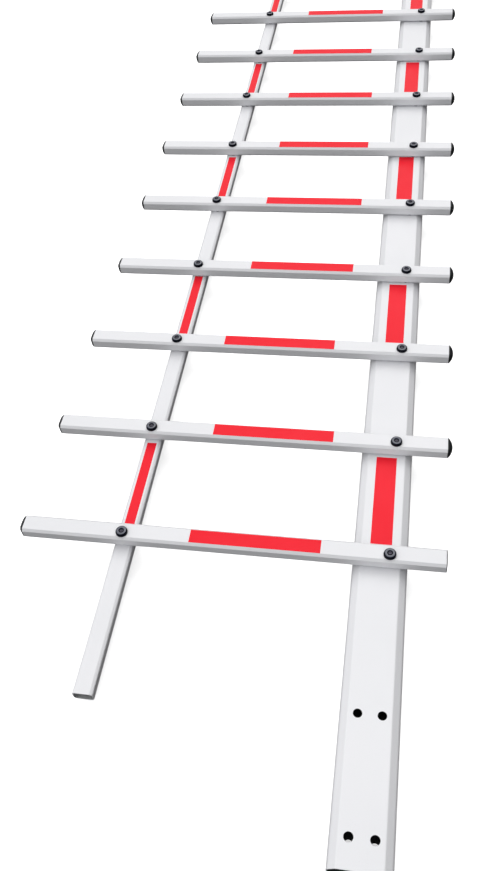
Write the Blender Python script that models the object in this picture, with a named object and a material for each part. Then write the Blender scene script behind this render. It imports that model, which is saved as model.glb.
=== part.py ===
"""Fence-type barrier boom: a wide octagonal boom tube and a slim lower rail,
joined by ten parallel pickets that pivot on both, so the fence folds flat.

It lies on its back: the boom runs along +Y, the pickets lie on top (+Z),
and the lower rail is on the -X side.  Metres.
"""
import math

import bmesh
import bpy
from mathutils import Matrix, Vector

for old in list(bpy.data.objects):
    bpy.data.objects.remove(old, do_unlink=True)

# ------------------------------------------------------------ dimensions
PICKETS = 10                # pickets on the boom
PITCH = 0.260               # pivot to pivot along the boom
SPAN = 0.502                # boom pivot to rail pivot
FIRST_Y = 0.3815            # first pivot, from the mounting hole pattern's centre

BOOM_HALF = (0.0500, 0.0225)   # half width, half height
BOOM_CHAMFER = (0.0140, 0.0113)        # across, down
BOOM_ROUND = (0.0050, 0.0110, 0.0110)  # top corners, upper side corners, lower corners
BOOM_WALL = 0.0022
BOOM_Y = (-0.141, 2.859)       # root end, tip end
PIVOT_X = 0.017                # boom pivots sit this far off the boom's middle

RAIL_HALF = (0.0185, 0.0115)
RAIL_CHAMFER = (0.0055, 0.0030)
RAIL_ROUND = (0.0040, 0.0040, 0.0040)
RAIL_WALL = 0.0016
RAIL_Y = (0.073, 2.823)

PICKET_HALF = (0.0190, 0.0135)
PICKET_CHAMFER = (0.0047, 0.0047)
PICKET_ROUND = (0.0012, 0.0012, 0.0066)
PICKET_WALL = 0.0016
PICKET_X = (-0.700, 0.100)     # tube ends, from the boom pivot
PICKET_LIFT = 0.0016           # washer and play between tube and rails
PICKET_OFFSET = 0.0045         # tube's middle, from its pivots towards the tip

HOLE_R = 0.0043                # pivot holes
SHANK_R = 0.0040
HEAD_R = 0.0115
HEAD_H = 0.0070
WASHER_R = 0.0090
NUT_R = 0.0065
NUT_H = 0.0090
PLAY = 0.0003                  # gap that touching pieces keep

MOUNT_HOLE_R = 0.00725
MOUNT_HALF = (0.020, 0.095)    # half the mounting holes' spacing across, along

CAP_DEPTH = 0.014
CAP_FLANGE = 0.0014
DOME_H = 0.0084
PLUG_H = 0.0012

RAIL_X = PIVOT_X - SPAN
RAIL_TOP = 2 * BOOM_HALF[1]
RAIL_Z = RAIL_TOP - RAIL_HALF[1]
PICKET_Z = RAIL_TOP + PICKET_LIFT + PICKET_HALF[1]
PICKET_TOP = PICKET_Z + PICKET_HALF[1]
PIVOT_YS = [FIRST_Y + PITCH * i for i in range(PICKETS)]

WHITE = (0.86, 0.87, 0.88)
BLACK = (0.020, 0.021, 0.024)
GREY = (0.30, 0.30, 0.31)


# --------------------------------------------------------------- helpers
def material(name, colour, roughness, metallic=0.0):
    mat = bpy.data.materials.new(name + "_finish")
    mat.use_nodes = True
    shader = mat.node_tree.nodes["Principled BSDF"]
    shader.inputs["Base Color"].default_value = (*colour, 1.0)
    shader.inputs["Roughness"].default_value = roughness
    shader.inputs["Metallic"].default_value = metallic
    return mat


def add(name, bm, colour, roughness, metallic=0.0, parent=None):
    bmesh.ops.recalc_face_normals(bm, faces=bm.faces)
    mesh = bpy.data.meshes.new(name)
    bm.to_mesh(mesh)
    bm.free()
    mesh.materials.append(material(name, colour, roughness, metallic))
    obj = bpy.data.objects.new(name, mesh)
    bpy.context.scene.collection.objects.link(obj)
    if parent is not None:
        obj.parent = parent
    return obj


def octagon(half, chamfer, rounding, steps=2):
    """Corner points of a chamfered rectangle, each corner rounded."""
    a, b = half
    across, down = chamfer
    top, side, low = rounding
    raw = [(a, b - down), (a - across, b), (across - a, b), (-a, b - down),
           (-a, down - b), (across - a, -b), (a - across, -b), (a, down - b)]
    radii = (side, top, top, side, low, low, low, low)
    slope = math.atan2(down, across)
    out = []
    for i, (corner, r) in enumerate(zip(raw, radii)):
        turn = slope if i in (1, 2, 5, 6) else math.radians(90) - slope
        p = Vector(corner)
        to_prev = (Vector(raw[i - 1]) - p).normalized()
        to_next = (Vector(raw[(i + 1) % 8]) - p).normalized()
        bisector = (to_prev + to_next).normalized()
        centre = p + bisector * (r / math.cos(turn / 2))
        start = (p + to_prev * r * math.tan(turn / 2)) - centre
        for k in range(steps + 1):
            spun = start.copy()
            spun.rotate(Matrix.Rotation(turn * k / steps, 2))
            out.append(tuple(centre + spun))
    return out


def inner_octagon(half, chamfer, rounding, wall):
    """The same section, every side moved in by wall."""
    across, down = chamfer
    length = math.hypot(across, down)
    trim = across + down - length
    return octagon((half[0] - wall, half[1] - wall),
                   (across - wall * trim / down, down - wall * trim / across),
                   [max(r - wall, 0.0003) for r in rounding])


def ring(bm, points, place):
    return [bm.verts.new(place(u, v)) for u, v in points]


def bridge(bm, one, two):
    n = len(one)
    for i in range(n):
        bm.faces.new((one[i], one[(i + 1) % n], two[(i + 1) % n], two[i]))


def tube(half, chamfer, rounding, wall, lo, hi, place):
    """Open tube of chamfered section; place(u, v, s) gives the 3-D point."""
    bm = bmesh.new()
    outer = octagon(half, chamfer, rounding)
    inner = inner_octagon(half, chamfer, rounding, wall)
    rings = []
    for s in (lo, hi):
        o = ring(bm, outer, lambda u, v: place(u, v, s))
        i = ring(bm, inner, lambda u, v: place(u, v, s))
        rings.append((o, i))
        edges = []
        for loop in (o, i):
            edges += [bm.edges.new((loop[k], loop[(k + 1) % len(loop)])) for k in range(len(loop))]
        bmesh.ops.bridge_loops(bm, edges=edges)
    bridge(bm, rings[0][0], rings[1][0])
    bridge(bm, rings[0][1], rings[1][1])
    bmesh.ops.triangulate(bm, faces=[f for f in bm.faces if len(f.verts) > 4])
    return bm


def lathe(profile, centre, steps):
    """Spin a list of (radius, height) about Z at centre; ends lie on the axis."""
    bm = bmesh.new()
    first = bm.verts.new((centre[0], centre[1], profile[0][1]))
    last = bm.verts.new((centre[0], centre[1], profile[-1][1]))
    loops = []
    for r, z in profile[1:-1]:
        loops.append([bm.verts.new((centre[0] + r * math.cos(2 * math.pi * k / steps),
                                    centre[1] + r * math.sin(2 * math.pi * k / steps), z))
                      for k in range(steps)])
    for k in range(steps):
        j = (k + 1) % steps
        bm.faces.new((first, loops[0][k], loops[0][j]))
        bm.faces.new((last, loops[-1][j], loops[-1][k]))
    for one, two in zip(loops, loops[1:]):
        bridge(bm, one, two)
    return bm


def drill(name, spots, radius, lo, hi, steps):
    """One cutter object made of upright cylinders."""
    bm = bmesh.new()
    for x, y in spots:
        mat = Matrix.Translation((x, y, (lo + hi) / 2))
        bmesh.ops.create_cone(bm, cap_ends=True, segments=steps, radius1=radius,
                              radius2=radius, depth=hi - lo, matrix=mat)
    mesh = bpy.data.meshes.new(name)
    bm.to_mesh(mesh)
    bm.free()
    obj = bpy.data.objects.new(name, mesh)
    bpy.context.scene.collection.objects.link(obj)
    obj.display_type = 'WIRE'
    obj.hide_render = True
    return obj


def cut(obj, cutter):
    mod = obj.modifiers.new("holes", 'BOOLEAN')
    mod.operation = 'DIFFERENCE'
    mod.solver = 'EXACT'
    mod.object = cutter
    return mod


def end_cap(half, chamfer, rounding, wall, dome, place):
    """Plug inside the tube, a flange on its end, then a dome of height `dome`.
    place(u, v, s): s is 0 at the tube's end, positive outwards."""
    bm = bmesh.new()
    plug = inner_octagon(half, chamfer, rounding, wall + PLAY)
    rim = octagon((half[0] - 0.0001, half[1] - 0.0001), chamfer, rounding)
    loops = [ring(bm, [(u * 0.94, v * 0.94) for u, v in plug], lambda u, v: place(u, v, -CAP_DEPTH)),
             ring(bm, plug, lambda u, v: place(u, v, -CAP_DEPTH + 0.0012)),
             ring(bm, plug, lambda u, v: place(u, v, PLAY)),
             ring(bm, rim, lambda u, v: place(u, v, PLAY)),
             ring(bm, rim, lambda u, v: place(u, v, CAP_FLANGE))]
    if dome > 0.0:
        chord = half[0]
        radius = (chord * chord + dome * dome) / (2 * dome)
        for grow in (0.86, 0.68, 0.46, 0.22):
            rise = math.sqrt(radius * radius - (chord * grow) ** 2) - (radius - dome)
            loops.append(ring(bm, [(u * grow, v * grow) for u, v in rim],
                              lambda u, v: place(u, v, CAP_FLANGE + rise)))
        loops.append(ring(bm, [(u * 0.05, v * 0.05) for u, v in rim],
                          lambda u, v: place(u, v, CAP_FLANGE + dome)))
    for one, two in zip(loops, loops[1:]):
        bridge(bm, one, two)
    bm.faces.new(loops[0])
    bm.faces.new(loops[-1])
    return bm


def pivot_bolt(x, y, wall):
    """Bolt with its cover cap, washer and blind rivet nut, as fitted."""
    head = PICKET_TOP + PLAY
    top = head + HEAD_H
    under = RAIL_TOP - wall - PLAY
    return lathe([(0.0, top), (HEAD_R - 0.0032, top), (HEAD_R - 0.0010, top - 0.0018), (HEAD_R, top - 0.0042),
                  (HEAD_R, head + 0.0010),
                  (HEAD_R - 0.0010, head), (SHANK_R, head),
                  (SHANK_R, RAIL_TOP + PICKET_LIFT - PLAY), (WASHER_R, RAIL_TOP + PICKET_LIFT - PLAY),
                  (WASHER_R, RAIL_TOP + PLAY), (SHANK_R, RAIL_TOP + PLAY),
                  (SHANK_R, under), (NUT_R, under), (NUT_R, under - NUT_H), (0.0, under - NUT_H)],
                 (x, y), 16)


# ------------------------------------------------------------- the pieces
pivots = [(PIVOT_X, y) for y in PIVOT_YS] + [(RAIL_X, y) for y in PIVOT_YS]
pivot_drill = drill("pivot_drill", pivots, HOLE_R, RAIL_TOP - 0.008, PICKET_TOP + 0.010, 16)
mount_drill = drill("mount_drill",
                    [(sx * MOUNT_HALF[0], sy * MOUNT_HALF[1]) for sx in (-1, 1) for sy in (-1, 1)],
                    MOUNT_HOLE_R, -0.010, RAIL_TOP + 0.010, 20)

# the boom: everything that stays still when the fence folds
boom = add("boom", tube(BOOM_HALF, BOOM_CHAMFER, BOOM_ROUND, BOOM_WALL, *BOOM_Y,
                        lambda u, v, s: (u, s, v + BOOM_HALF[1])), WHITE, 0.35)
cut(boom, pivot_drill)
cut(boom, mount_drill)
add("boom_tip_cap", end_cap(BOOM_HALF, BOOM_CHAMFER, BOOM_ROUND, BOOM_WALL, 0.0,
                            lambda u, v, s: (u, BOOM_Y[1] + s, v + BOOM_HALF[1])), BLACK, 0.5)

# the lower rail, its origin on the first picket's rail pivot
rail = add("rail", tube(RAIL_HALF, RAIL_CHAMFER, RAIL_ROUND, RAIL_WALL,
                        RAIL_Y[0] - FIRST_Y, RAIL_Y[1] - FIRST_Y,
                        lambda u, v, s: (u, s, v + RAIL_Z)), WHITE, 0.35)
rail.location = (RAIL_X, FIRST_Y, 0.0)
cut(rail, pivot_drill)
add("rail_tip_cap", end_cap(RAIL_HALF, RAIL_CHAMFER, RAIL_ROUND, RAIL_WALL, 0.0,
                            lambda u, v, s: (u, RAIL_Y[1] - FIRST_Y + s, v + RAIL_Z)),
    BLACK, 0.5, parent=rail)

# ten pickets, each with its origin on its own boom pivot
for i, y in enumerate(PIVOT_YS):
    tag = "picket_%02d" % (i + 1)
    picket = add(tag, tube(PICKET_HALF, PICKET_CHAMFER, PICKET_ROUND, PICKET_WALL, *PICKET_X,
                           lambda u, v, s: (s, u + PICKET_OFFSET, v + PICKET_Z)), WHITE, 0.35)
    picket.location = (PIVOT_X, y, 0.0)
    cut(picket, pivot_drill)
    add(tag + "_lower_cap", end_cap(PICKET_HALF, PICKET_CHAMFER, PICKET_ROUND, PICKET_WALL, DOME_H,
                                    lambda u, v, s: (PICKET_X[0] - s, u + PICKET_OFFSET, v + PICKET_Z)),
        BLACK, 0.5, parent=picket)
    if i == 0:
        add(tag + "_upper_plug", end_cap(PICKET_HALF, PICKET_CHAMFER, PICKET_ROUND, PICKET_WALL, PLUG_H,
                                         lambda u, v, s: (PICKET_X[1] + s, u + PICKET_OFFSET, v + PICKET_Z)),
            GREY, 0.5, parent=picket)
    else:
        add(tag + "_upper_cap", end_cap(PICKET_HALF, PICKET_CHAMFER, PICKET_ROUND, PICKET_WALL, DOME_H,
                                        lambda u, v, s: (PICKET_X[1] + s, u + PICKET_OFFSET, v + PICKET_Z)),
            BLACK, 0.5, parent=picket)

# pivot bolts: one row stays with the boom, the other with the rail
for i, y in enumerate(PIVOT_YS):
    add("boom_bolt_%02d" % (i + 1), pivot_bolt(PIVOT_X, y, BOOM_WALL), BLACK, 0.4)
    add("rail_bolt_%02d" % (i + 1), pivot_bolt(0.0, y - FIRST_Y, RAIL_WALL), BLACK, 0.4, parent=rail)
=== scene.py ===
"""Looks for the fence-type barrier boom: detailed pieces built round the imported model.

Row frame, metres: the boom runs along +Y, pickets lie on its +Z face, the rail is on -X.
"""
import math

import bmesh
import bpy
from mathutils import Matrix, Vector


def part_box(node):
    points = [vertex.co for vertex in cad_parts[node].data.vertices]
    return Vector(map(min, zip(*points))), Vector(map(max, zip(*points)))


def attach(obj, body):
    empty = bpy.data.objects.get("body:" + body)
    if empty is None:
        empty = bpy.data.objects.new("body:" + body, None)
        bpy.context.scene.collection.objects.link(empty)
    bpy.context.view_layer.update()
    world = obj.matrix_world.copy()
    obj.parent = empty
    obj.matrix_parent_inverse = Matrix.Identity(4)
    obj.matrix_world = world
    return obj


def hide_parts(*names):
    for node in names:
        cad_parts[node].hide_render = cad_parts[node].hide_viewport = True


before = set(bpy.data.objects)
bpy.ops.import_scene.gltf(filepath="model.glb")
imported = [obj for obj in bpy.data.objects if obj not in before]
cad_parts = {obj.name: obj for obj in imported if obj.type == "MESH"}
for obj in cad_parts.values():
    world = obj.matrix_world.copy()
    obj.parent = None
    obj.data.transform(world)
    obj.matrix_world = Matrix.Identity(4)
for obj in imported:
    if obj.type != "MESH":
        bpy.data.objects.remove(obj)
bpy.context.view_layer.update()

# ------------------------------------------------------- sizes, from the CAD
TAGS = ["%02d" % (i + 1) for i in range(10)]


def mid(node):
    lo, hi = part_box(node)
    return (lo + hi) / 2


BOOM_LO, BOOM_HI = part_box("boom")
RAIL_LO, RAIL_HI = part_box("rail")
PICKET_LO, PICKET_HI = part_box("picket_01")
PIVOT_X = mid("boom_bolt_01").x
RAIL_X = mid("rail_bolt_01").x
PIVOT_YS = [mid("boom_bolt_" + t).y for t in TAGS]
PICKET_YS = [mid("picket_" + t).y for t in TAGS]

BOOM_HALF = ((BOOM_HI.x - BOOM_LO.x) / 2, (BOOM_HI.z - BOOM_LO.z) / 2)
RAIL_HALF = ((RAIL_HI.x - RAIL_LO.x) / 2, (RAIL_HI.z - RAIL_LO.z) / 2)
PICKET_HALF = ((PICKET_HI.y - PICKET_LO.y) / 2, (PICKET_HI.z - PICKET_LO.z) / 2)
BOOM_TOP = BOOM_HI.z
RAIL_Z = (RAIL_LO.z + RAIL_HI.z) / 2
PICKET_Z = (PICKET_LO.z + PICKET_HI.z) / 2
PICKET_TOP = PICKET_HI.z

# chamfer (across, down); rounding of the top, side and lower corners; wall
BOOM_SECTION = ((0.0140, 0.0113), (0.0050, 0.0110, 0.0110), 0.0022)
RAIL_SECTION = ((0.0055, 0.0030), (0.0040, 0.0040, 0.0040), 0.0016)
PICKET_SECTION = ((0.0047, 0.0047), (0.0013, 0.0013, 0.0066), 0.0016)
PIVOT_HOLE_R = 0.0043
MOUNT_HOLE_R = 0.00725
MOUNT_HALF = (0.020, 0.095)


# ------------------------------------------------------------ mesh helpers
def octagon(half, chamfer, rounding, steps):
    """Chamfered rectangle with every corner rounded, as (u, v) points."""
    a, b = half
    across, down = chamfer
    top, side, low = rounding
    raw = [(a, b - down), (a - across, b), (across - a, b), (-a, b - down),
           (-a, down - b), (across - a, -b), (a - across, -b), (a, down - b)]
    radii = (side, top, top, side, low, low, low, low)
    slope = math.atan2(down, across)
    out = []
    for i, (corner, r) in enumerate(zip(raw, radii)):
        turn = slope if i in (1, 2, 5, 6) else math.radians(90) - slope
        p = Vector(corner)
        to_prev = (Vector(raw[i - 1]) - p).normalized()
        to_next = (Vector(raw[(i + 1) % 8]) - p).normalized()
        centre = p + (to_prev + to_next).normalized() * (r / math.cos(turn / 2))
        start = (p + to_prev * r * math.tan(turn / 2)) - centre
        for k in range(steps + 1):
            spun = start.copy()
            spun.rotate(Matrix.Rotation(turn * k / steps, 2))
            out.append(tuple(centre + spun))
    return out


def inset_octagon(half, section, d, steps):
    (across, down), rounding, wall = section
    trim = across + down - math.hypot(across, down)
    return octagon((half[0] - d, half[1] - d), (across - d * trim / down, down - d * trim / across),
                   [max(r - d, 0.00025) for r in rounding], steps)


def bridge(bm, one, two):
    n = len(one)
    return [bm.faces.new((one[i], one[(i + 1) % n], two[(i + 1) % n], two[i])) for i in range(n)]


def place_ring(bm, points, place, s):
    return [bm.verts.new(place(u, v, s)) for u, v in points]


def tube_bm(half, section, lo, hi, place, steps, lip=0.0005):
    """Tube with softened lips at both open ends, one closed surface."""
    bm = bmesh.new()
    wall = section[2]
    stations = [(0.0, lo + lip), (0.0, hi - lip), (lip * 0.3, hi - lip * 0.3), (lip, hi),
                (wall - 0.0003, hi), (wall, hi - 0.0003), (wall, lo + 0.0003),
                (wall - 0.0003, lo), (lip, lo), (lip * 0.3, lo + lip * 0.3)]
    loops = [place_ring(bm, inset_octagon(half, section, d, steps), place, s)
             for d, s in stations]
    for i in range(len(loops)):
        made = bridge(bm, loops[i], loops[(i + 1) % len(loops)])
        # the inner wall takes the second slot: near-black painted shade in the boom and pickets, light bare metal in
        # the rail
        if i == 5:
            for face in made:
                face.material_index = 1
    return bm


def lathe_bm(profile, centre, steps):
    """(radius, height) points spun about an upright axis; both ends on the axis."""
    bm = bmesh.new()
    first = bm.verts.new((centre[0], centre[1], profile[0][1]))
    last = bm.verts.new((centre[0], centre[1], profile[-1][1]))
    loops = [[bm.verts.new((centre[0] + r * math.cos(2 * math.pi * k / steps),
                            centre[1] + r * math.sin(2 * math.pi * k / steps), z))
              for k in range(steps)] for r, z in profile[1:-1]]
    for k in range(steps):
        j = (k + 1) % steps
        bm.faces.new((first, loops[0][k], loops[0][j]))
        bm.faces.new((last, loops[-1][j], loops[-1][k]))
    for one, two in zip(loops, loops[1:]):
        bridge(bm, one, two)
    return bm


def make(name, bm, mat, angle=32.0, second=None):
    bmesh.ops.recalc_face_normals(bm, faces=bm.faces)
    mesh = bpy.data.meshes.new(name)
    bm.to_mesh(mesh)
    bm.free()
    obj = bpy.data.objects.new(name, mesh)
    bpy.context.scene.collection.objects.link(obj)
    mesh.materials.append(mat)
    if second is not None:
        mesh.materials.append(second)
    smooth(obj, angle)
    return obj


def smooth(obj, angle):
    mesh = obj.data
    mesh.polygons.foreach_set("use_smooth", [True] * len(mesh.polygons))
    mesh.set_sharp_from_angle(angle=math.radians(angle))
    if not any(m.type == 'WEIGHTED_NORMAL' for m in obj.modifiers):
        mod = obj.modifiers.new("even_shading", 'WEIGHTED_NORMAL')
        mod.keep_sharp = True
        mod.weight = 80


def bore(obj, spots, radius, lo, hi, steps, angle=32.0, flare=0.0):
    """Cuts round upright holes with walls in the second slot (painted shade on the boom and pickets, bare metal on the
    rail) and keeps the cut mesh. flare softens the rim at hi.
    """
    bm = bmesh.new()
    for x, y in spots:
        if flare:
            part = lathe_bm([(0, hi + 0.002), (radius + flare + 0.002, hi + 0.002), (radius, hi - flare),
                             (radius, lo), (0, lo)], (x, y), steps)
            part_mesh = bpy.data.meshes.new("flare")
            bmesh.ops.recalc_face_normals(part, faces=part.faces)
            part.to_mesh(part_mesh)
            part.free()
            bm.from_mesh(part_mesh)
            bpy.data.meshes.remove(part_mesh)
        else:
            bmesh.ops.create_cone(bm, cap_ends=True, segments=steps, radius1=radius,
                                  radius2=radius, depth=hi - lo,
                                  matrix=Matrix.Translation((x, y, (lo + hi) / 2)))
    # hole walls get the second slot; on the boom and pickets that is painted shade
    for face in bm.faces:
        face.material_index = 1
    mesh = bpy.data.meshes.new("cutter")
    bm.to_mesh(mesh)
    bm.free()
    cutter = bpy.data.objects.new("cutter", mesh)
    bpy.context.scene.collection.objects.link(cutter)
    kept = [(m.name, m.type) for m in obj.modifiers]
    obj.modifiers.clear()
    mod = obj.modifiers.new("holes", 'BOOLEAN')
    mod.operation = 'DIFFERENCE'
    mod.solver = 'EXACT'
    mod.object = cutter
    bpy.context.view_layer.update()
    dg = bpy.context.evaluated_depsgraph_get()
    cut_mesh = bpy.data.meshes.new_from_object(obj.evaluated_get(dg))
    old = obj.data
    obj.modifiers.clear()
    obj.data = cut_mesh
    bpy.data.meshes.remove(old)
    bpy.data.objects.remove(cutter, do_unlink=True)
    bpy.data.meshes.remove(mesh)
    if kept:
        smooth(obj, angle)


# --------------------------------------------------------------- materials
class Nodes:
    """Small helper to write a material's node tree."""

    def __init__(self, name):
        self.mat = bpy.data.materials.new(name)
        self.mat.use_nodes = True
        self.tree = self.mat.node_tree
        self.shader = self.tree.nodes["Principled BSDF"]
        self.coord = self.tree.nodes.new("ShaderNodeTexCoord").outputs["Object"]

    def node(self, kind, **settings):
        n = self.tree.nodes.new(kind)
        for key, value in settings.items():
            setattr(n, key, value)
        return n

    def link(self, a, b):
        self.tree.links.new(a, b)
        return b

    def set(self, **values):
        for key, value in values.items():
            self.shader.inputs[key.replace("_", " ")].default_value = value

    def noise(self, scale, detail=2.0, rough=0.5, coord=None):
        n = self.node("ShaderNodeTexNoise")
        n.inputs["Scale"].default_value = scale
        n.inputs["Detail"].default_value = detail
        n.inputs["Roughness"].default_value = rough
        self.link(coord or self.coord, n.inputs["Vector"])
        return n.outputs["Fac"]

    def ramp(self, value, stops):
        n = self.node("ShaderNodeValToRGB")
        self.link(value, n.inputs["Fac"])
        ramp = n.color_ramp
        while len(ramp.elements) < len(stops):
            ramp.elements.new(0.5)
        for element, (pos, colour) in zip(ramp.elements, stops):
            element.position = pos
            element.color = (*colour, 1.0) if hasattr(colour, "__len__") else (colour, colour, colour, 1.0)
        return n.outputs["Color"]

    def remap(self, value, lo, hi, to_lo, to_hi):
        n = self.node("ShaderNodeMapRange")
        self.link(value, n.inputs["Value"])
        for key, v in (("From Min", lo), ("From Max", hi), ("To Min", to_lo), ("To Max", to_hi)):
            n.inputs[key].default_value = v
        return n.outputs["Result"]

    def mix(self, fac, a, b, blend='MIX'):
        n = self.node("ShaderNodeMix", data_type='RGBA', blend_type=blend)
        for value, key in ((fac, 0), (a, 6), (b, 7)):
            socket = n.inputs[key]
            if isinstance(value, bpy.types.NodeSocket):
                self.link(value, socket)
            else:
                socket.default_value = value if key == 0 else (*value, 1.0)
        return n.outputs[2]

    def maths(self, op, a, b):
        n = self.node("ShaderNodeMath", operation=op)
        for value, socket in ((a, n.inputs[0]), (b, n.inputs[1])):
            if isinstance(value, bpy.types.NodeSocket):
                self.link(value, socket)
            else:
                socket.default_value = value
        return n.outputs[0]

    def bump(self, height, strength, distance, after=None):
        n = self.node("ShaderNodeBump")
        n.inputs["Strength"].default_value = strength
        n.inputs["Distance"].default_value = distance
        self.link(height, n.inputs["Height"])
        if after is not None:
            self.link(after, n.inputs["Normal"])
        return n.outputs["Normal"]


def powder_coat(name, base, shade):
    """Satin polyester powder coat on aluminium: orange peel, faint tone drift, fine dust."""
    m = Nodes(name)
    drift = m.noise(3.2, 3.0)
    dust = m.noise(420.0, 4.0, 0.65)
    specks = m.ramp(dust, [(0.30, 0.90), (0.40, 1.0)])
    tone = m.mix(m.remap(drift, 0.35, 0.65, 0.0, 1.0), base, shade)
    m.link(m.mix(0.35, tone, specks, 'MULTIPLY'), m.shader.inputs["Base Color"])
    m.link(m.remap(m.noise(38.0, 3.0), 0.3, 0.7, 0.30, 0.42), m.shader.inputs["Roughness"])
    peel = m.bump(m.noise(520.0, 1.5), 0.16, 0.0004)
    wave = m.bump(m.noise(70.0, 1.0), 0.05, 0.0010, peel)
    m.link(wave, m.shader.inputs["Normal"])
    m.set(Specular_IOR_Level=0.22)
    return m.mat


def moulded_plastic(name, base, lighter, rough, grain=0.25, shine=0.5, haze=0.0):
    """Injection-moulded plastic with a fine spark-eroded grain and light rub marks."""
    m = Nodes(name)
    rub = m.noise(55.0, 5.0, 0.7)
    m.link(m.mix(m.remap(rub, 0.45, 0.75, 0.0, 1.0), base, lighter), m.shader.inputs["Base Color"])
    m.link(m.remap(rub, 0.3, 0.7, rough - 0.05, rough + 0.07), m.shader.inputs["Roughness"])
    m.link(m.bump(m.noise(1500.0, 2.0), grain, 0.0003), m.shader.inputs["Normal"])
    m.set(Specular_IOR_Level=shine, Sheen_Weight=haze, Sheen_Roughness=0.35)
    return m.mat


def reflective_tape(name):
    """Red prismatic tape: a fine diamond lattice of sealed cells under a clear face."""
    m = Nodes(name)
    cell = m.node("ShaderNodeTexVoronoi", feature='DISTANCE_TO_EDGE')
    cell.inputs["Scale"].default_value = 330.0
    cell.inputs["Randomness"].default_value = 0.0
    m.link(m.coord, cell.inputs["Vector"])
    seam = m.remap(cell.outputs["Distance"], 0.03, 0.10, 1.0, 0.0)
    tone = m.mix(m.remap(m.noise(9.0, 2.0), 0.35, 0.65, 0.0, 1.0), (0.95, 0.013, 0.029), (0.98, 0.018, 0.036))
    m.link(m.mix(m.maths('MULTIPLY', seam, 0.22), tone, (0.80, 0.020, 0.040)), m.shader.inputs["Base Color"])
    m.link(m.remap(seam, 0.0, 1.0, 0.30, 0.42), m.shader.inputs["Roughness"])
    m.link(m.bump(seam, 0.20, 0.0002), m.shader.inputs["Normal"])
    m.set(Specular_IOR_Level=0.10)
    return m.mat


def dark_metal(name, base, lighter, rough):
    m = Nodes(name)
    worn = m.noise(260.0, 4.0, 0.6)
    m.link(m.mix(m.remap(worn, 0.4, 0.7, 0.0, 1.0), base, lighter), m.shader.inputs["Base Color"])
    m.link(m.remap(worn, 0.3, 0.7, rough - 0.06, rough + 0.08), m.shader.inputs["Roughness"])
    m.link(m.bump(m.noise(900.0, 2.0), 0.15, 0.0002), m.shader.inputs["Normal"])
    m.set(Metallic=0.85)
    return m.mat


WHITE_COAT = powder_coat("white_powder_coat", (0.868, 0.870, 0.893), (0.838, 0.842, 0.866))
CAP_BLACK = moulded_plastic("black_moulded_cap", (0.018, 0.019, 0.021), (0.032, 0.033, 0.036), 0.40)
PLUG_GREY = moulded_plastic("grey_end_plug", (0.070, 0.070, 0.075), (0.10, 0.10, 0.105), 0.45)
COVER_BLACK = moulded_plastic("black_bolt_cover", (0.0016, 0.0028, 0.0085), (0.0030, 0.0050, 0.0140), 0.34, 0.10, 0.09)
# the rim ring's lighter blue-grey base colour is a painted highlight of the rim catching the sky; only its gloss is
# real
COVER_RING_PAINTED_HIGHLIGHT = moulded_plastic("polished_cover_ring", (0.040, 0.048, 0.080), (0.054, 0.062, 0.096), 0.30, 0.04, 1.0, 0.8)
RED_TAPE = reflective_tape("red_reflective_tape")
BOLT_ZINC = dark_metal("dark_socket_screw", (0.045, 0.042, 0.058), (0.075, 0.071, 0.092), 0.34)
STEEL = dark_metal("plated_steel", (0.50, 0.50, 0.49), (0.62, 0.61, 0.58), 0.32)
# inside of the boom and pickets: bare metal made near black, which is painted shade in the hollow
TUBE_INSIDE_PAINTED_SHADE = dark_metal("tube_inside_painted_shade", (0.050, 0.051, 0.054), (0.085, 0.086, 0.090), 0.55)
RAIL_INSIDE = dark_metal("unpainted_rail_inside", (0.66, 0.67, 0.68), (0.76, 0.77, 0.78), 0.55)


# ----------------------------------------------------------------- the tubes
def put(obj, body, slot, *nodes):
    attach(obj, body)
    if nodes:
        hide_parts(*nodes)
    return obj


boom_mid = (BOOM_LO + BOOM_HI) / 2
boom = make("boom_tube", tube_bm(BOOM_HALF, BOOM_SECTION, BOOM_LO.y, BOOM_HI.y,
                                 lambda u, v, s: (boom_mid.x + u, s, boom_mid.z + v), 8), WHITE_COAT,
            second=TUBE_INSIDE_PAINTED_SHADE)
bore(boom, [(PIVOT_X, y) for y in PIVOT_YS], PIVOT_HOLE_R, BOOM_TOP - 0.008, BOOM_TOP + 0.004, 32)
bore(boom, [(sx * MOUNT_HALF[0], sy * MOUNT_HALF[1]) for sx in (-1, 1) for sy in (-1, 1)],
     MOUNT_HOLE_R, BOOM_LO.z - 0.004, BOOM_TOP, 48, flare=0.0004)
put(boom, "boom", "white_coat", "boom")

rail_mid = (RAIL_LO + RAIL_HI) / 2
rail = make("rail_tube", tube_bm(RAIL_HALF, RAIL_SECTION, RAIL_LO.y, RAIL_HI.y,
                                 lambda u, v, s: (rail_mid.x + u, s, rail_mid.z + v), 5), WHITE_COAT,
            second=RAIL_INSIDE)
bore(rail, [(RAIL_X, y) for y in PIVOT_YS], PIVOT_HOLE_R, BOOM_TOP - 0.006, BOOM_TOP + 0.004, 32)
put(rail, "rail", "white_coat", "rail")

for t, y, pivot_y in zip(TAGS, PICKET_YS, PIVOT_YS):
    picket = make("picket_tube_" + t, tube_bm(PICKET_HALF, PICKET_SECTION, PICKET_LO.x, PICKET_HI.x,
                                              lambda u, v, s, y=y: (s, y + u, PICKET_Z + v), 4), WHITE_COAT,
                  second=TUBE_INSIDE_PAINTED_SHADE)
    bore(picket, [(PIVOT_X, pivot_y), (RAIL_X, pivot_y)], PIVOT_HOLE_R, PICKET_LO.z - 0.004, PICKET_TOP + 0.004, 32)
    put(picket, "picket_" + t, "white_coat", "picket_" + t)


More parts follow.
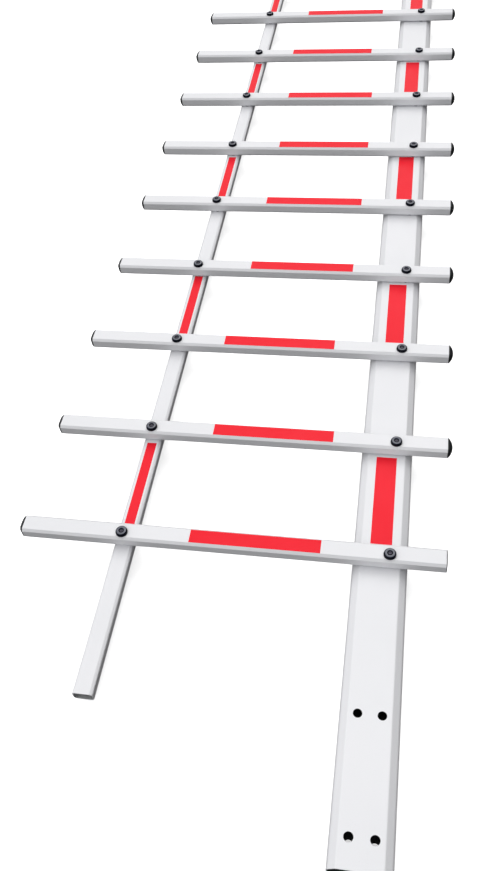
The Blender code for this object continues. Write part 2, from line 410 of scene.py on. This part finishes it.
# ------------------------------------------------------------------ end caps
def cap_bm(half, section, tip, place, steps):
    """Plug in the tube, thin flange on its end, then a crown that rises to tip."""
    bm = bmesh.new()
    chamfer, rounding, wall = section
    plug = inset_octagon(half, section, wall + 0.0003, steps)
    rim = octagon((half[0] - 0.0001, half[1] - 0.0001), chamfer, rounding, steps)
    loops = [place_ring(bm, [(u * 0.94, v * 0.94) for u, v in plug], place, -0.0140),
             place_ring(bm, plug, place, -0.0128),
             place_ring(bm, plug, place, 0.0003),
             place_ring(bm, [(u * 0.985, v * 0.985) for u, v in rim], place, 0.0003),
             place_ring(bm, rim, place, 0.0006)]
    flange = 0.0014
    if tip <= flange + 0.0001:
        loops.append(place_ring(bm, rim, place, tip - 0.0004))
        loops.append(place_ring(bm, [(u * 0.99, v * 0.985) for u, v in rim], place, tip - 0.0001))
        loops.append(place_ring(bm, [(u * 0.97, v * 0.96) for u, v in rim], place, tip))
        bm.faces.new(loops[-1])
    else:
        loops.append(place_ring(bm, rim, place, flange))
        rise = tip - flange
        chord = half[0]
        radius = (chord * chord + rise * rise) / (2 * rise)
        n = 14
        for k in range(1, n):
            out = math.cos(math.radians(90) * k / n)
            up = math.sqrt(radius * radius - (chord * out) ** 2) - (radius - rise)
            loops.append(place_ring(bm, [(u * out, v * out) for u, v in rim], place, flange + up))
        end = bm.verts.new(place(0.0, 0.0, tip))
        last = loops[-1]
        for k in range(len(last)):
            bm.faces.new((last[k], last[(k + 1) % len(last)], end))
    for one, two in zip(loops, loops[1:]):
        bridge(bm, one, two)
    bm.faces.new(loops[0])
    return bm


def proud(node, edge, axis, sign):
    """How far a cap stands out of its tube."""
    lo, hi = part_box(node)
    return (hi[axis] - edge) if sign > 0 else (edge - lo[axis])


for t, y in zip(TAGS, PICKET_YS):
    left = cap_bm(PICKET_HALF, PICKET_SECTION, proud("picket_%s_lower_cap" % t, PICKET_LO.x, 0, -1),
                  lambda u, v, s, y=y: (PICKET_LO.x - s, y + u, PICKET_Z + v), 4)
    put(make("picket_lower_cap_" + t, left, CAP_BLACK), "picket_" + t, "black_cap",
        "picket_%s_lower_cap" % t)
    kind = "upper_plug" if t == "01" else "upper_cap"
    node = "picket_%s_%s" % (t, kind)
    right = cap_bm(PICKET_HALF, PICKET_SECTION, proud(node, PICKET_HI.x, 0, 1),
                   lambda u, v, s, y=y: (PICKET_HI.x + s, y + u, PICKET_Z + v), 4)
    put(make("picket_%s_%s" % (kind, t), right, PLUG_GREY if t == "01" else CAP_BLACK),
        "picket_" + t, "grey_plug" if t == "01" else "black_cap", node)

put(make("boom_end_cap", cap_bm(BOOM_HALF, BOOM_SECTION, proud("boom_tip_cap", BOOM_HI.y, 1, 1),
                                lambda u, v, s: (boom_mid.x + u, BOOM_HI.y + s, boom_mid.z + v), 8),
         CAP_BLACK), "boom", "black_cap", "boom_tip_cap")
put(make("rail_end_cap", cap_bm(RAIL_HALF, RAIL_SECTION, proud("rail_tip_cap", RAIL_HI.y, 1, 1),
                                lambda u, v, s: (rail_mid.x + u, RAIL_HI.y + s, rail_mid.z + v), 5),
         CAP_BLACK), "rail", "black_cap", "rail_tip_cap")


# -------------------------------------------------------------- pivot bolts
def arc(r0, z0, r1, z1, n, bulge=True):
    """Quarter-ellipse points from (r0, z0) to (r1, z1), both ends left in."""
    out = []
    for k in range(n + 1):
        a = math.radians(90) * k / n
        if bulge:
            out.append((r0 + (r1 - r0) * math.sin(a), z1 + (z0 - z1) * math.cos(a)))
        else:
            out.append((r1 + (r0 - r1) * math.cos(a), z0 + (z1 - z0) * math.sin(a)))
    return out


def cover_bm(x, y, top, seat):
    """Round cover: short upright wall, domed shoulder, rounded rim and a round well."""
    r = 0.0115
    low = top - 0.0021
    profile = [(0.0, low), (0.0046, low), (0.0050, low + 0.0002), (0.0053, low + 0.0007),
               (0.0054, top - 0.0006), (0.0056, top - 0.0002), (0.0060, top - 0.00005), (0.0066, top),
               (0.0075, top - 0.00003), (0.0083, top - 0.00018)]
    profile += arc(0.0088, top - 0.0004, r, seat + 0.0026, 10)
    profile += [(r, seat + 0.0004), (r - 0.0004, seat), (0.0044, seat), (0.0, seat)]
    bm = lathe_bm(profile, (x, y), 56)
    # the flat annulus round the well takes the second slot, whose lighter colour is a painted highlight
    for face in bm.faces:
        out = (face.calc_center_median() - Vector((x, y, 0.0))).to_2d().length
        if 0.0052 < out < 0.0093 and face.calc_center_median().z > top - 0.0012:
            face.material_index = 1
    return bm


def screw_bm(x, y, floor):
    """Small socket screw head in the middle of the cover's dish."""
    bm = bmesh.new()
    steps = 48
    hexagon = []
    for k in range(steps):
        a = 2 * math.pi * k / steps
        sector = (a + math.pi / 6) % (math.pi / 3) - math.pi / 6
        hexagon.append(0.0017 / math.cos(sector))

    def loop(radii, z):
        return [bm.verts.new((x + radii[k] * math.cos(2 * math.pi * k / steps),
                              y + radii[k] * math.sin(2 * math.pi * k / steps), z)) for k in range(steps)]
    top = floor + 0.0014
    loops = [loop([h * 0.3 for h in hexagon], floor + 0.0004), loop([h * 0.98 for h in hexagon], floor + 0.0005),
             loop(hexagon, floor + 0.0006), loop(hexagon, top - 0.0002),
             loop([h + 0.0002 for h in hexagon], top)]
    for r, z in arc(0.0025, top, 0.0034, floor + 0.0004, 5):
        loops.append(loop([r] * steps, z))
    loops.append(loop([0.0034] * steps, floor))
    for one, two in zip(loops, loops[1:]):
        bridge(bm, one, two)
    bm.faces.new(loops[0])
    bm.faces.new(loops[-1])
    return bm


def shank_bm(x, y, top, nut_top, nut_low):
    """Shank and blind rivet nut under the cover."""
    r = 0.0040
    profile = [(0.0, top), (r, top), (r, nut_top),
               (0.0063, nut_top), (0.0065, nut_top - 0.0002), (0.0065, nut_top - 0.0036),
               (0.0060, nut_top - 0.0042), (0.0060, nut_low + 0.0004), (0.0056, nut_low), (0.0, nut_low)]
    return lathe_bm(profile, (x, y), 32)


def washer_bm(x, y):
    """Flat black washer that keeps a picket off the tube under it; where it shows under the picket, its black is
    painted shade for the dark gap line.
    """
    lo, hi, inner, outer, e = BOOM_TOP + 0.0001, PICKET_LO.z - 0.0001, 0.0042, 0.0090, 0.0003
    profile = [(inner, lo), (inner, hi), (outer - e, hi), (outer, hi - e), (outer, lo + e), (outer - e, lo)]
    steps = 48
    bm = bmesh.new()
    loops = [[bm.verts.new((x + r * math.cos(2 * math.pi * k / steps),
                            y + r * math.sin(2 * math.pi * k / steps), z)) for k in range(steps)]
             for r, z in profile]
    for i in range(len(loops)):
        bridge(bm, loops[i], loops[(i + 1) % len(loops)])
    return bm


for row, body, x in (("boom", "boom", PIVOT_X), ("rail", "rail", RAIL_X)):
    for t, y in zip(TAGS, PIVOT_YS):
        node = "%s_bolt_%s" % (row, t)
        low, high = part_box(node)
        seat = PICKET_TOP + 0.0001
        wall = BOOM_SECTION[2] if row == "boom" else RAIL_SECTION[2]
        put(make("%s_cover_%s" % (row, t), cover_bm(x, y, high.z, seat), COVER_BLACK, 40,
                 COVER_RING_PAINTED_HIGHLIGHT),
            body, "pivot_bolt", node)
        put(make("%s_screw_%s" % (row, t), screw_bm(x, y, high.z - 0.0021 - 0.0003), BOLT_ZINC),
            body, "bolt_socket", node)
        put(make("%s_shank_%s" % (row, t), shank_bm(x, y, seat + 0.0002, BOOM_TOP - wall - 0.0001, low.z), STEEL),
            body, "bolt_socket", node)
        # the washer is a real spacer, and its black also serves as painted shade for the dark line under each picket
        put(make("%s_washer_%s" % (row, t), washer_bm(x, y), CAP_BLACK), body, "black_cap", node)


# --------------------------------------------------------------------- tapes
TAPE = 0.00032


def tape_bm(x0, x1, y0, y1, z):
    bm = bmesh.new()
    e = 0.00012
    def loop(d, h):
        return [bm.verts.new(p) for p in ((x0 + d, y0 + d, h), (x1 - d, y0 + d, h),
                                          (x1 - d, y1 - d, h), (x0 + d, y1 - d, h))]
    loops = [loop(0.0, z + 0.00002), loop(0.0, z + TAPE - e), loop(e, z + TAPE)]
    for one, two in zip(loops, loops[1:]):
        bridge(bm, one, two)
    bm.faces.new(loops[0])
    bm.faces.new(loops[-1])
    return bm


SHIFT = {"03": -0.021, "05": 0.002, "06": 0.002, "07": -0.004, "08": -0.021}
for t, y in zip(TAGS, PICKET_YS):
    dx = SHIFT.get(t, 0.0)
    put(make("picket_tape_" + t, tape_bm(PIVOT_X - 0.371 + dx, PIVOT_X - 0.125 + dx,
                                         y - 0.0140, y + 0.0140, PICKET_TOP), RED_TAPE),
        "picket_" + t, "red_tape")
# every other bay; each tape was cut and laid by hand, so its ends differ a little
BOOM_BAY = {"01": (0.030, 0.238), "03": (0.026, 0.238), "05": (0.030, 0.2455), "07": (0.028, 0.240)}
RAIL_BAY = {"01": (0.030, 0.236), "03": (0.026, 0.2455), "05": (0.030, 0.238), "07": (0.020, 0.240)}
for k in range(0, 10, 2):
    y = PICKET_YS[k]
    start, end = BOOM_BAY.get(TAGS[k], (0.030, 0.236))
    long_tape = put(make("boom_tape_" + TAGS[k], tape_bm(-0.020, 0.020, y + start, y + end, BOOM_TOP),
                         RED_TAPE), "boom", "red_tape")
    start, end = RAIL_BAY.get(TAGS[k], (0.030, 0.232))
    thin_tape = put(make("rail_tape_" + TAGS[k], tape_bm(RAIL_X - 0.010, RAIL_X + 0.010, y + start,
                                                         y + end, BOOM_TOP), RED_TAPE), "rail", "red_tape")
    # retroreflective sheet sends light back to its source and hardly tints what is near it
    long_tape.visible_diffuse = False
    thin_tape.visible_diffuse = False


# --------------------------------------------------------------------- stage
LIGHT = 0.97


def floor_material(name, glow):
    m = Nodes(name)
    m.link(m.mix(m.remap(m.noise(1.5, 2.0), 0.3, 0.7, 0.0, 1.0), (0.93, 0.93, 0.93), (0.95, 0.95, 0.95)),
           m.shader.inputs["Base Color"])
    m.set(Roughness=0.9, Specular_IOR_Level=0.0)
    m.shader.inputs["Emission Color"].default_value = (1, 1, 1, 1)
    m.shader.inputs["Emission Strength"].default_value = glow
    return m.mat


bm = bmesh.new()
bmesh.ops.create_grid(bm, x_segments=8, y_segments=8, size=90.0)
bmesh.ops.translate(bm, verts=bm.verts, vec=(0.0, 1.4, -0.0004))
floor = make("floor", bm, floor_material("pale_floor", 0.60))
floor.visible_diffuse = False
floor.visible_glossy = False

# a pale wall far off, seen only by the camera, so that low views have no dark horizon
bm = bmesh.new()
bmesh.ops.create_cone(bm, cap_ends=False, segments=96, radius1=80.0, radius2=80.0, depth=76.0,
                      matrix=Matrix.Translation((0.0, 1.4, 37.5)))
backdrop = make("backdrop", bm, floor_material("pale_backdrop", 1.0))
backdrop.visible_diffuse = False
backdrop.visible_glossy = False
backdrop.visible_shadow = False

world = bpy.data.worlds.new("studio")
bpy.context.scene.world = world
world.use_nodes = True
tree = world.node_tree
tree.nodes.clear()


def wnode(kind, **settings):
    n = tree.nodes.new(kind)
    for key, value in settings.items():
        setattr(n, key, value)
    return n


def wmath(op, a, b):
    n = wnode("ShaderNodeMath", operation=op)
    for value, socket in ((a, n.inputs[0]), (b, n.inputs[1])):
        if isinstance(value, bpy.types.NodeSocket):
            tree.links.new(value, socket)
        else:
            socket.default_value = value
    return n.outputs[0]


def toward(direction):
    n = wnode("ShaderNodeVectorMath", operation='DOT_PRODUCT')
    tree.links.new(sky, n.inputs[0])
    n.inputs[1].default_value = Vector(direction)
    return n.outputs["Value"]


def tinted(level, colour):
    n = wnode("ShaderNodeBackground")
    n.inputs["Color"].default_value = (*colour, 1.0)
    tree.links.new(level, n.inputs["Strength"])
    return n.outputs["Background"]


def softbox(direction, tightness, strength):
    level = wmath('POWER', wmath('MAXIMUM', toward(Vector(direction).normalized()), 0.0), tightness)
    return wmath('MULTIPLY', wmath('MULTIPLY', level, strength * LIGHT), above)


# Broad soft boxes over a dim wrap that is lower on the +X and +Y sides, and dark below.
sky = wnode("ShaderNodeTexCoord").outputs["Generated"]
above = wmath('GREATER_THAN', toward((0, 0, 1)), 0.0)
wrap = wmath('MAXIMUM', wmath('ADD', toward((-1.0, -1.0, 0.0)), 1.0), 0.0)
wrap = wmath('MULTIPLY', wrap, wmath('ADD', toward((0.0, 0.0, 0.19)), 0.81))
wrap = wmath('MULTIPLY', wmath('MULTIPLY', wrap, 0.239 * LIGHT), above)
ground = wmath('MULTIPLY', wmath('SUBTRACT', 1.0, above), 0.03)
key = softbox((0.025, 0.564, 0.724), 8.76, 3.349)
fill = wmath('ADD', softbox((-0.75, -0.10, 0.65), 9.0, 1.062), softbox((0.0, -0.70, 0.70), 9.0, 0.901))
fill = wmath('ADD', fill, softbox((0.0, 0.0, 1.0), 9.0, 0.303))
join = wnode("ShaderNodeAddShader")
tree.links.new(tinted(wmath('ADD', wmath('ADD', wrap, fill), ground), (0.990, 0.993, 1.0)), join.inputs[0])
tree.links.new(tinted(key, (1.0, 0.997, 0.990)), join.inputs[1])
out = wnode("ShaderNodeOutputWorld")
tree.links.new(join.outputs[0], out.inputs["Surface"])


# -------------------------------------------------------------------- camera
data = bpy.data.cameras.new("camera")
camera = bpy.data.objects.new("camera", data)
bpy.context.scene.collection.objects.link(camera)
data.sensor_fit = 'AUTO'
data.sensor_width = 36.0
data.lens = 864.8016 * 36.0 / 871.0
data.clip_start = 0.05
data.clip_end = 60.0


def rodrigues(x, y, z):
    v = Vector((x, y, z))
    return Matrix.Rotation(v.length, 3, v)


turn = rodrigues(2.45196, 0.14999, -0.17963)
shift = Vector((0.19379, 0.55436, 1.37866))
place = -(turn.transposed() @ shift)
rows = Matrix((turn[0], -turn[1], -turn[2])).transposed()
camera.matrix_world = Matrix.Translation(place) @ rows.to_4x4()
bpy.context.scene.camera = camera
bpy.context.scene.view_settings.view_transform = 'Standard'
